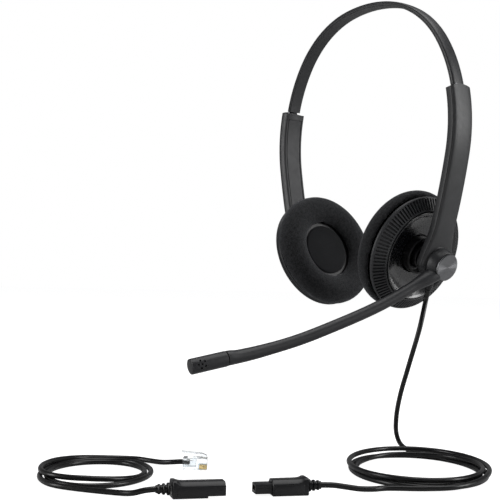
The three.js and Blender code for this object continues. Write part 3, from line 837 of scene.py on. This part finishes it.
def foam_mesh():
    """A ring of foam: a slack start blown up by cloth pressure, held where it meets the cup."""
    outline = rounded((
        (27.8, -15.05), (29.5, -14.95), (30.4, -16.8), (30.5, -19.6), (29.5, -22.6), (27, -24.7),
        (23.2, -25.4), (19.4, -24.5), (16.4, -22.4), (15, -20.6), (15.1, -19.35), (27.8, -19.35),
    ), 1.2, 4)
    obj = mesh_object("foam_start", lathe(outline, 160))
    remesh = obj.modifiers.new("remesh", "REMESH")
    remesh.mode = "VOXEL"
    remesh.voxel_size = FOAM_GRID * MM
    settled(obj)
    blown_up(obj)
    soften = obj.modifiers.new("soften", "SMOOTH")
    soften.factor = 0.5
    soften.iterations = 4
    fine = obj.modifiers.new("fine", "SUBSURF")
    fine.levels = fine.render_levels = 1
    settled(obj)
    mesh = obj.data
    bpy.data.objects.remove(obj)
    smooth(mesh)
    return mesh


def blown_up(obj):
    """Some frames of cloth under pressure, then each point's way is cut to what the foam allows."""
    start = [v.co.copy() for v in obj.data.vertices]
    cloth = obj.modifiers.new("cloth", "CLOTH")
    cloth.settings.use_pressure = True
    cloth.settings.uniform_pressure_force = PRESSURE
    cloth.settings.quality = 6
    cloth.settings.effector_weights.gravity = 0
    cloth.point_cache.frame_start = 1
    cloth.point_cache.frame_end = BLOWN_FRAMES
    for number in range(1, BLOWN_FRAMES + 1):
        bpy.context.scene.frame_set(number)
    settled(obj)
    bpy.context.scene.frame_set(1)
    for vertex, first in zip(obj.data.vertices, start):
        height = first.z / MM
        free = eased(-height, HELD_TO, FREE_FROM)
        if height > FLAT_BACK and math.hypot(first.x, first.y) < FLAT_RADIUS * MM:
            free = 0
        way = vertex.co - first
        reach = SWELL * MM * free
        if way.length > reach:
            way = way * (reach / way.length)
        vertex.co = first + way


def ear_foams():
    mesh = foam_mesh()
    for side in SIDES:
        obj = in_scene(bpy.data.objects.new(f"{side}_ear_foam", mesh.copy()))
        obj.matrix_world = HUB[side]
        dress(obj, FOAM, f"{side}_cup", (f"{side}_cushion",))


# ---------------------------------------------------------------- boom, in the hub's frame
boom_points = [Vector((down, -forward, out)) for forward, down, out in BOOM_ROUTE]
MIC_AIM = Vector((4.1, -16.1, -1.9)).normalized()
MIC_TURN = Vector((0, 0, 1)).rotation_difference(MIC_AIM).to_matrix().to_4x4()
MIC = Matrix.Translation(boom_points[-1]) @ MIC_TURN


def boom_arm():
    """A slim tube that grows out of the knuckle on the hub and thickens to meet the microphone."""
    line = smooth_line(boom_points, LINE_STEP)
    length = line_length(line)
    outline = circle(40)

    def section(share):
        at = share * length
        root = 1.5 * (1 - eased(at, 2, 15))
        ramp = 0.7 * eased(at, length - 6, length - 1)
        swell = 0.6 * eased(at, length - 30, length - 1)
        wide = BOOM_RADIUS + root + swell
        return [(x * wide, y * (BOOM_RADIUS + 0.6 * root + (ramp if y > 0 else swell))) for x, y in outline]

    bar = loft(swept(line, section, Vector((-1, 0, 0))))
    knuckle = lathe(rounded((
        (3.3, 3), (7.9, 3), (8.2, 3.4), (7.95, 5.4), (7.2, 8.4), (5.4, 8.4), (5.4, 6.2), (3.3, 6.2),
    ), 0.35, 3), 96)
    operands = [*cut(rod(5.38, 2.5, 9, segments=96)), *join(knuckle)]
    carved_piece("boom_arm", bar, BOOM, "boom", HUB["left"], operands, ("boom_tube",))


def microphone():
    """The capsule at the boom's end, with six sound holes on its outer side."""
    end = MIC_LENGTH
    outline = [
        (2.6, 0.3), (3.25, 0.3), (3.38, 0.42), (3.42, 0.8), (3.42, end - 0.5), (3.36, end - 0.25),
        (3.15, end - 0.1), (1.8, end), (0, end), (0, end - 1.2), (2.6, end - 1.2),
    ]
    holes = []
    ring = [(1.75 * x, 1.75 * y) for x, y in circle(5)]
    for along, across in [(0, 0), *ring]:
        around = Matrix.Translation((0, 0, end - 4.6 + along)) @ turned(MIC_FACING, "Z")
        place = around @ Matrix.Translation((across, 0, 0)) @ turned(-90, "X")
        holes += cut(moved(rod(0.44, 0.4, 5, segments=16), place))
    place = HUB["left"] @ Matrix.Translation(MIC.translation * MM) @ MIC.to_3x3().to_4x4()
    carved_piece(
        "microphone", lathe(outline, 64), BOOM, "boom", place, holes, ("mic_capsule",),
    )


def hub_discs():
    """The turned metal discs: one on the boom's hub, one straight on the right arm."""
    boom_disc = (
        (0, 8.1), (5, 8.1), (5, 8.7), (6.6, 8.7), (6.7, 8.8), (6.7, 9.25), (6.45, 9.55), (6.25, 9.58),
        (0, 9.25),
    )
    arm_disc = (
        (0, 1.8), (1.9, 1.8), (1.9, 3), (6.6, 3), (6.7, 3.1), (6.7, 3.5), (6.45, 3.85), (6.25, 3.88),
        (0, 3.55),
    )
    piece("boom_disc", lathe(boom_disc), CAP, "boom", HUB["left"], ("boom_cap",))
    piece("right_hub_disc", lathe(arm_disc), CAP, "right_arm", HUB["right"], ("right_hub_cap",))


def gland_boot():
    """The cord's strain relief under the hub: a flange and a short taper."""
    outline = rounded((
        (0.85, 7), (0.85, 10.9), (2.1, 10.9), (2.15, 12), (1.9, 12.3), (1.75, 13.2), (1.55, 14.2),
    ), 0.2, 2, closed=False)
    place = HUB["left"] @ Matrix.Translation(GLAND.translation * MM) @ GLAND.to_3x3().to_4x4()
    shape = lathe([(0, 7), *outline, (0, 14.2)], 48)
    return piece("gland_boot", shape, PLUG, "left_arm", place, ("cord_gland",))


# ---------------------------------------------------------------- the leads' ends
def relief(name, stands_for, body, place, turn):
    """A strain relief of three rounded ribs, each smaller than the one before."""
    outline = [(0, 0), (1.2, 0)]
    core = 1.65
    for at in (0.3, 2.2, 4.1):
        radius = 2.6 - at * 0.13
        outline += [(radius - 0.25, at), (radius, at + 0.25), (radius, at + 0.85), (radius - 0.25, at + 1.1)]
        outline += [(core, at + 1.25), (core, at + 1.85)]
    outline += [(1.45, 5.98), (0, 6)]
    shift = turned(turn, "Z") @ Matrix.Translation((0.3 * MM, 0, 0))
    frame_here = place @ shift @ turned(90, "Y")
    return piece(name, lathe(outline, 48), CORD, body, frame_here, (stands_for,))


PLUG_FRAME = laid(PLUG_PLACE, PLUG_HEIGHT, PLUG_TURN)
SOCKET_FRAME = laid(SOCKET_PLACE, PLUG_HEIGHT, PLUG_TURN)
TELEPHONE_FRAME = laid(TELEPHONE_PLUG_PLACE, TELEPHONE_HEIGHT, 0)


def connector_body(stations):
    """A body along X from stations of (x, top, shoulder's size, inset of the end's rounding)."""
    rings = []
    for x, top, cut, inset in stations:
        half, low, high = 4 - inset, -3.5 + inset, top - inset
        side = [
            (half - 0.4, low), (half, low + 0.4), (half, high - cut - 0.2), (half - 0.12, high - cut),
            (half - cut, high - 0.1), (half - cut - 0.25, high),
        ]
        rings.append([Vector((x, y, z)) for y, z in side + [(-y, z) for y, z in reversed(side)]])
    return loft(rings)


# From the flanged end: the top is scooped down and the shoulders widen.
FLANGE = (
    (0, 3.6, 0.6, 0.25), (0.25, 3.66, 0.6, 0), (1.2, 3.7, 0.6, 0), (1.7, 3.6, 0.7, 0),
    (2.4, 3.36, 1, 0), (3.4, 3.16, 1.4, 0), (5, 3.08, 1.6, 0),
)


def quick_plug():
    """The headset's half of the quick connector: a body with a tongue, and three contacts in it."""
    stations = [(-x, *rest) for x, *rest in FLANGE] + [(-15.35, 3, 1.6, 0), (-15.6, 3, 1.6, 0.25)]
    body = connector_body(stations)
    panel = block((-15, -4.12, -2.9), (-1.9, 4.12, 0.9), 0.14, 2)
    tongue = block((-22.8, -2.9, -2.6), (-15, 2.9, 1.6), 0.3)
    rail = block((-22.3, -3.05, -0.5), (-15, 3.05, -0.1), 0.1, 2)
    room = block((-23, -1.9, -1.2), (-16.5, 1.9, 0.7), 0)
    operands = [*join(panel, tongue, rail), *cut(room)]
    made = [carved_piece(
        "quick_plug", body, PLUG, "headband", PLUG_FRAME, operands, ("plug_body",),
    )]
    for i, y in enumerate((-1.2, 0, 1.2), 1):
        side = rounded(((-22, -0.9), (-16.8, -0.9), (-16.8, 0.1), (-21.4, 0.1), (-22, -0.4)), 0.2)
        pin = moved(side_view(slab(side, 0, 0.6, 0.08, 2), 0.3), Matrix.Translation((0, y, 0)))
        node = f"plug_contact_{i}"
        made.append(piece(f"plug_pin_{i}", pin, GOLD, node_body(node), PLUG_FRAME, (node,)))
    made.append(relief("plug_boot", "plug_strain_relief", node_body("plug_strain_relief"), PLUG_FRAME, 0))
    return made


def quick_socket():
    """The phone lead's half: a hollow body that takes the tongue round its own blade."""
    body = connector_body([*FLANGE, (21.75, 3.1, 1.6, 0), (22, 3.1, 1.6, 0.25)])
    panel = block((1.9, -4.12, -2.9), (21.2, 4.12, 0.9), 0.14, 2)
    step = block((14.6, -4.5, -4), (23, 4.5, -2.6), 0)
    room = block((13.4, -3.25, -2.9), (23, 3.25, 1.9), 0)
    operands = [*join(panel), *cut(step, room)]
    made = [carved_piece(
        "quick_socket", body, PLUG, "phone_lead", SOCKET_FRAME, operands, ("socket_body",),
    )]
    side = rounded(((13.7, 0.2), (20.2, 0.2), (20.6, 0.35), (20.2, 0.5), (13.7, 0.5)), 0.08)
    blade = side_view(slab(side, 0, 3, 0.06, 2), 1.5)
    made.append(piece(
        "socket_tab", blade, GOLD, "phone_lead", SOCKET_FRAME, ("socket_blade",),
    ))
    made.append(relief("socket_boot", "socket_strain_relief", "phone_lead", SOCKET_FRAME, 180))
    return made


def telephone_plug():
    """The clear plug on the phone lead, its four contacts, and its latch on top."""
    body = block((-5.6, -3.8, -3.1), (5.6, 3.8, 2.2), 0.3)
    cord_way = block((-6, -2.1, -1.9), (0.6, 2.1, 1.2), 0.2)
    shoulder = block((-3.6, -4.4, 1.2), (-1.2, 4.4, 2.6), 0.1)
    wedge = block((-1.6, -1.7, 0.9), (0.9, 1.7, 3), 0.1)
    operands = cut(cord_way, shoulder, wedge)
    places = [-1.53, -0.51, 0.51, 1.53]
    operands += cut(*(block((1.6, y - 0.25, -4), (6, y + 0.25, -0.4), 0) for y in places))
    made = [carved_piece(
        "clear_plug", body, CLEAR, "phone_lead", TELEPHONE_FRAME, operands, ("telephone_plug_body",),
    )]
    latch_side = rounded((
        (5.4, 2.55), (5.4, 3.3), (3, 4.3), (-1, 4.62), (-6.4, 5.1), (-6.4, 4.5), (-1, 4.0), (2.6, 3.6),
        (3.6, 2.55),
    ), 0.3, 2)
    latch = side_view(slab(latch_side, 0, 3.2, 0.1, 2), 1.6)
    body_name = node_body("telephone_plug_latch")
    made.append(piece(
        "clear_latch", latch, CLEAR, body_name, TELEPHONE_FRAME, ("telephone_plug_latch",),
    ))
    for i, y in enumerate(places, 1):
        side = rounded(((2, -2.8), (5.2, -2.8), (5.2, -1.4), (4.7, -0.9), (2, -0.9)), 0.2)
        pin = moved(side_view(slab(side, 0, 0.26, 0.05, 2), 0.13), Matrix.Translation((0, y, 0)))
        node = f"telephone_contact_{i}"
        made.append(piece(
            f"telephone_pin_{i}", pin, GOLD, "phone_lead", TELEPHONE_FRAME, (node,),
        ))
    return made


def node_body(node):
    """The body that a CAD node rides on."""
    return frame["nodes"][node]["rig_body"]


def kept_nodes():
    """The CAD nodes that stay, inside the cups, the hub and the microphone."""
    for side in SIDES:
        for node, material in (
            ("baffle", INNER), ("driver_basket", STEEL), ("driver_magnet", STEEL), ("driver_cone", INNER),
        ):
            coat(frame["nodes"][f"{side}_{node}"], material)
    for node in ("boom_screw", "mic_element"):
        coat(frame["nodes"][node], STEEL)


headband()
for side in SIDES:
    slide_tongue(side)
    sleeve(side, side == "left")
    sleeve_cover(side)
    dish(side)
    slotted_ring(side)
    seat(side)
    ball_joint(side)
    speaker_cloth(side)
ear_foams()
boom_arm()
microphone()
hub_discs()
gland = gland_boot()
plug_pieces = quick_plug()
lead_pieces = quick_socket() + telephone_plug()
kept_nodes()


# ---------------------------------------------------------------- cords
def gland_at(distance):
    """A point under the gland, this far below the hub along the cord's way out."""
    lean = math.radians(GLAND_LEAN)
    return HUB["left"] @ (Vector((distance * math.cos(lean), distance * math.sin(lean), GLAND_OUT)) * MM)


def on_floor(x, y, height):
    return LAY @ (Vector((x, y, height)) * MM)


def between(stations, at):
    """Stations' (spread, height) at a fractional place among them, eased from one to the next."""
    i = min(max(int(at), 0), len(stations) - 2)
    t = min(max(at - i, 0), 1)
    ease = t * t * (3 - 2 * t)
    return [a + (b - a) * ease for a, b in zip(stations[i], stations[i + 1])]


def coil_turns(centre, half, hole, stations, first, last, step=22.5):
    """Turns laid clockwise between two ovals. A station is given for each quarter turn from angle 0:
    how far it lies from the inner oval to the outer one, and its height. first and last are the
    angles, in degrees clockwise, between which the turns are made."""
    place = laid(centre, 0, COIL_TURN)
    points = []
    count = round((last - first) / step)
    for i in range(count + 1):
        at = first + (last - first) * i / count
        out, height = between(stations, at / 90)
        inner = [h + CORD_RADIUS for h in hole]
        oval = [a + (b - CORD_RADIUS - a) * out for a, b in zip(inner, half)]
        turn = -math.radians(at)
        points.append(place @ (Vector((oval[0] * math.cos(turn), oval[1] * math.sin(turn), height)) * MM))
    return points


def cord(name, line, stands_for, body):
    shape = tube([p / MM for p in line], CORD_RADIUS)
    obj = piece(name, shape, CORD, body, stands_for=stands_for)
    return obj


LOW, RISING, HIGH = 1.3, 3.1, 3.85  # heights of the cord's middle in a coil

headset_route = [gland_at(14.3), gland_at(17), gland_at(20)] + [on_floor(*p) for p in (
    (23.8, -36, 67.4), (19.6, -31, 48.4), (16.8, -24, 33), (16.7, -13.4, 20.5), (18.4, -4.4, 11.2),
    (21.8, 1.4, 5), (27, 4.2, 1.6), (34, 2.4, LOW),
)]
HEADSET_STATIONS = (
    (0.75, LOW), (0.78, LOW), (0.8, LOW), (0.5, LOW), (0.1, LOW), (0.4, LOW), (0.2, LOW), (0.1, RISING),
    (0.35, HIGH), (0.62, HIGH), (1.0, HIGH), (0.97, HIGH), (1.0, HIGH), (1.0, 1.4),
)
headset_route += coil_turns((22.5, -49), (33.8, 47.5), (27, 31), HEADSET_STATIONS, -45, 1170)
headset_route += [on_floor(*p) for p in (
    (1.4, -96.2, LOW), (-4.5, -99.2, 1.35), (-10.5, -101.4, 1.7), (-17, -103.1, 2.7), (-22, -104.5, 3.5),
    (-27, -105.8, PLUG_HEIGHT), (-28.2, -106.13, PLUG_HEIGHT),
)]
headset_line = smooth_line(headset_route, LINE_STEP * MM)

LEAD_STATIONS = (
    (0.9, LOW), (0.6, LOW), (0.8, LOW), (0.6, LOW), (0.15, LOW), (0.1, LOW), (0.05, LOW), (0.1, 3.5),
    (0.95, HIGH), (1.1, 1.5),
)


def lead_turns():
    """The phone lead's turns start and end a half turn later than the headset cord's."""
    half, hole = (25.5, 36.9), (19.5, 24)
    return coil_turns((-125.2, -78.7), half, hole, ((1, LOW), (1, LOW), *LEAD_STATIONS), 112.5, 985)


socket_route = [on_floor(*p) for p in (
    (-94.4, -124.07, PLUG_HEIGHT), (-95.6, -124.4, PLUG_HEIGHT), (-99.5, -124.8, 3.2),
    (-104, -124.4, 2), (-108.6, -122, 1.35),
)]
telephone_route = [on_floor(*p) for p in (
    (-112, -41.4, LOW), (-104.6, -46.4, 1.4), (-98.4, -53, 2), (-93.4, -56.9, 2.9), (-88.7, -57.9, 3.4),
    (-84.9, -58, 3.4),
)]
lead_line = smooth_line(socket_route + lead_turns() + telephone_route, LINE_STEP * MM)

headset_cord = cord(
    "headset_cord", headset_line, ("headset_cord_hang", "headset_cord_coil", "headset_cord_lead"), None,
)
# Straight down, so that the whole coil stays on the floor as the arm slides.
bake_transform(headset_cord)
cord(
    "phone_lead", lead_line, ("phone_lead_coil", "phone_lead_socket_cord", "phone_lead_plug_cord"),
    "phone_lead",
)

# ---------------------------------------------------------------- stage
FLOOR_GLOW = 0.93


def seen_directly(tree):
    """1 for what the camera sees, also through clear plastic, and 0 for light and reflections."""
    path = tree.nodes.new("ShaderNodeLightPath").outputs
    return maths(tree, "MAXIMUM", path["Is Camera Ray"], path["Is Transmission Ray"])


def stage():
    """A pale floor under a white surround, with soft lamps."""
    half = 6
    mesh = bpy.data.meshes.new("floor")
    corners = [(-half, -half, 0), (half, -half, 0), (half, half, 0), (-half, half, 0)]
    mesh.from_pydata(corners, [], [(0, 1, 2, 3)])
    floor = in_scene(bpy.data.objects.new("floor", mesh))
    floor.location.z = floor_height
    white, tree, bsdf = shader("floor_white", (0.6, 0.6, 0.6), 0.8, specular_ior_level=0.0)
    bsdf.inputs["Emission Color"].default_value = (1, 1, 1, 1)
    glow = maths(tree, "MULTIPLY", seen_directly(tree), FLOOR_GLOW)
    tree.links.new(glow, bsdf.inputs["Emission Strength"])
    mesh.materials.append(white)


def surround():
    """White to the camera, and to the object a bright horizon under a dimmer ceiling."""
    world = bpy.data.worlds.new("surround")
    world.use_nodes = True
    tree = world.node_tree
    for node in list(tree.nodes):
        tree.nodes.remove(node)
    place = tree.nodes.new("ShaderNodeTexCoord")
    split = tree.nodes.new("ShaderNodeSeparateXYZ")
    ramp = tree.nodes.new("ShaderNodeValToRGB")
    ramp.color_ramp.elements[0].position = 0.35
    ramp.color_ramp.elements[0].color = (0.5, 0.5, 0.5, 1)
    ramp.color_ramp.elements[1].position = 0.75
    ramp.color_ramp.elements[1].color = (0.12, 0.12, 0.125, 1)
    seen = tree.nodes.new("ShaderNodeBackground")
    seen.inputs["Color"].default_value = (1, 1, 1, 1)
    lit = tree.nodes.new("ShaderNodeBackground")
    lit.inputs["Strength"].default_value = 0.75
    mix = tree.nodes.new("ShaderNodeMixShader")
    out = tree.nodes.new("ShaderNodeOutputWorld")
    tree.links.new(place.outputs["Generated"], split.inputs[0])
    tree.links.new(maths(tree, "MULTIPLY_ADD", split.outputs["Z"], 0.5, 0.5), ramp.inputs["Fac"])
    tree.links.new(ramp.outputs["Color"], lit.inputs["Color"])
    tree.links.new(seen_directly(tree), mix.inputs["Fac"])
    tree.links.new(lit.outputs[0], mix.inputs[1])
    tree.links.new(seen.outputs[0], mix.inputs[2])
    tree.links.new(mix.outputs[0], out.inputs["Surface"])
    bpy.context.scene.world = world


def lamp(name, place, target, size, power):
    data = bpy.data.lights.new(name, "AREA")
    data.shape = "RECTANGLE"
    data.size, data.size_y = size
    data.energy = power
    obj = in_scene(bpy.data.objects.new(name, data))
    obj.location = place
    obj.rotation_euler = (Vector(target) - Vector(place)).to_track_quat("-Z", "Y").to_euler()


stage()
surround()
lamp("key", (1.1, 0.9, 0.35), (0, 0, -0.1), (0.5, 1.0), 9)
lamp("fill", (-0.6, -1.2, 0.1), (0, 0, -0.12), (0.5, 0.9), 6)
lamp("top", (0.1, 0.2, 1.3), (0, 0, -0.2), (1.4, 1.4), 12)
bpy.context.scene.view_settings.view_transform = "Standard"
bpy.context.scene.view_settings.look = "None"
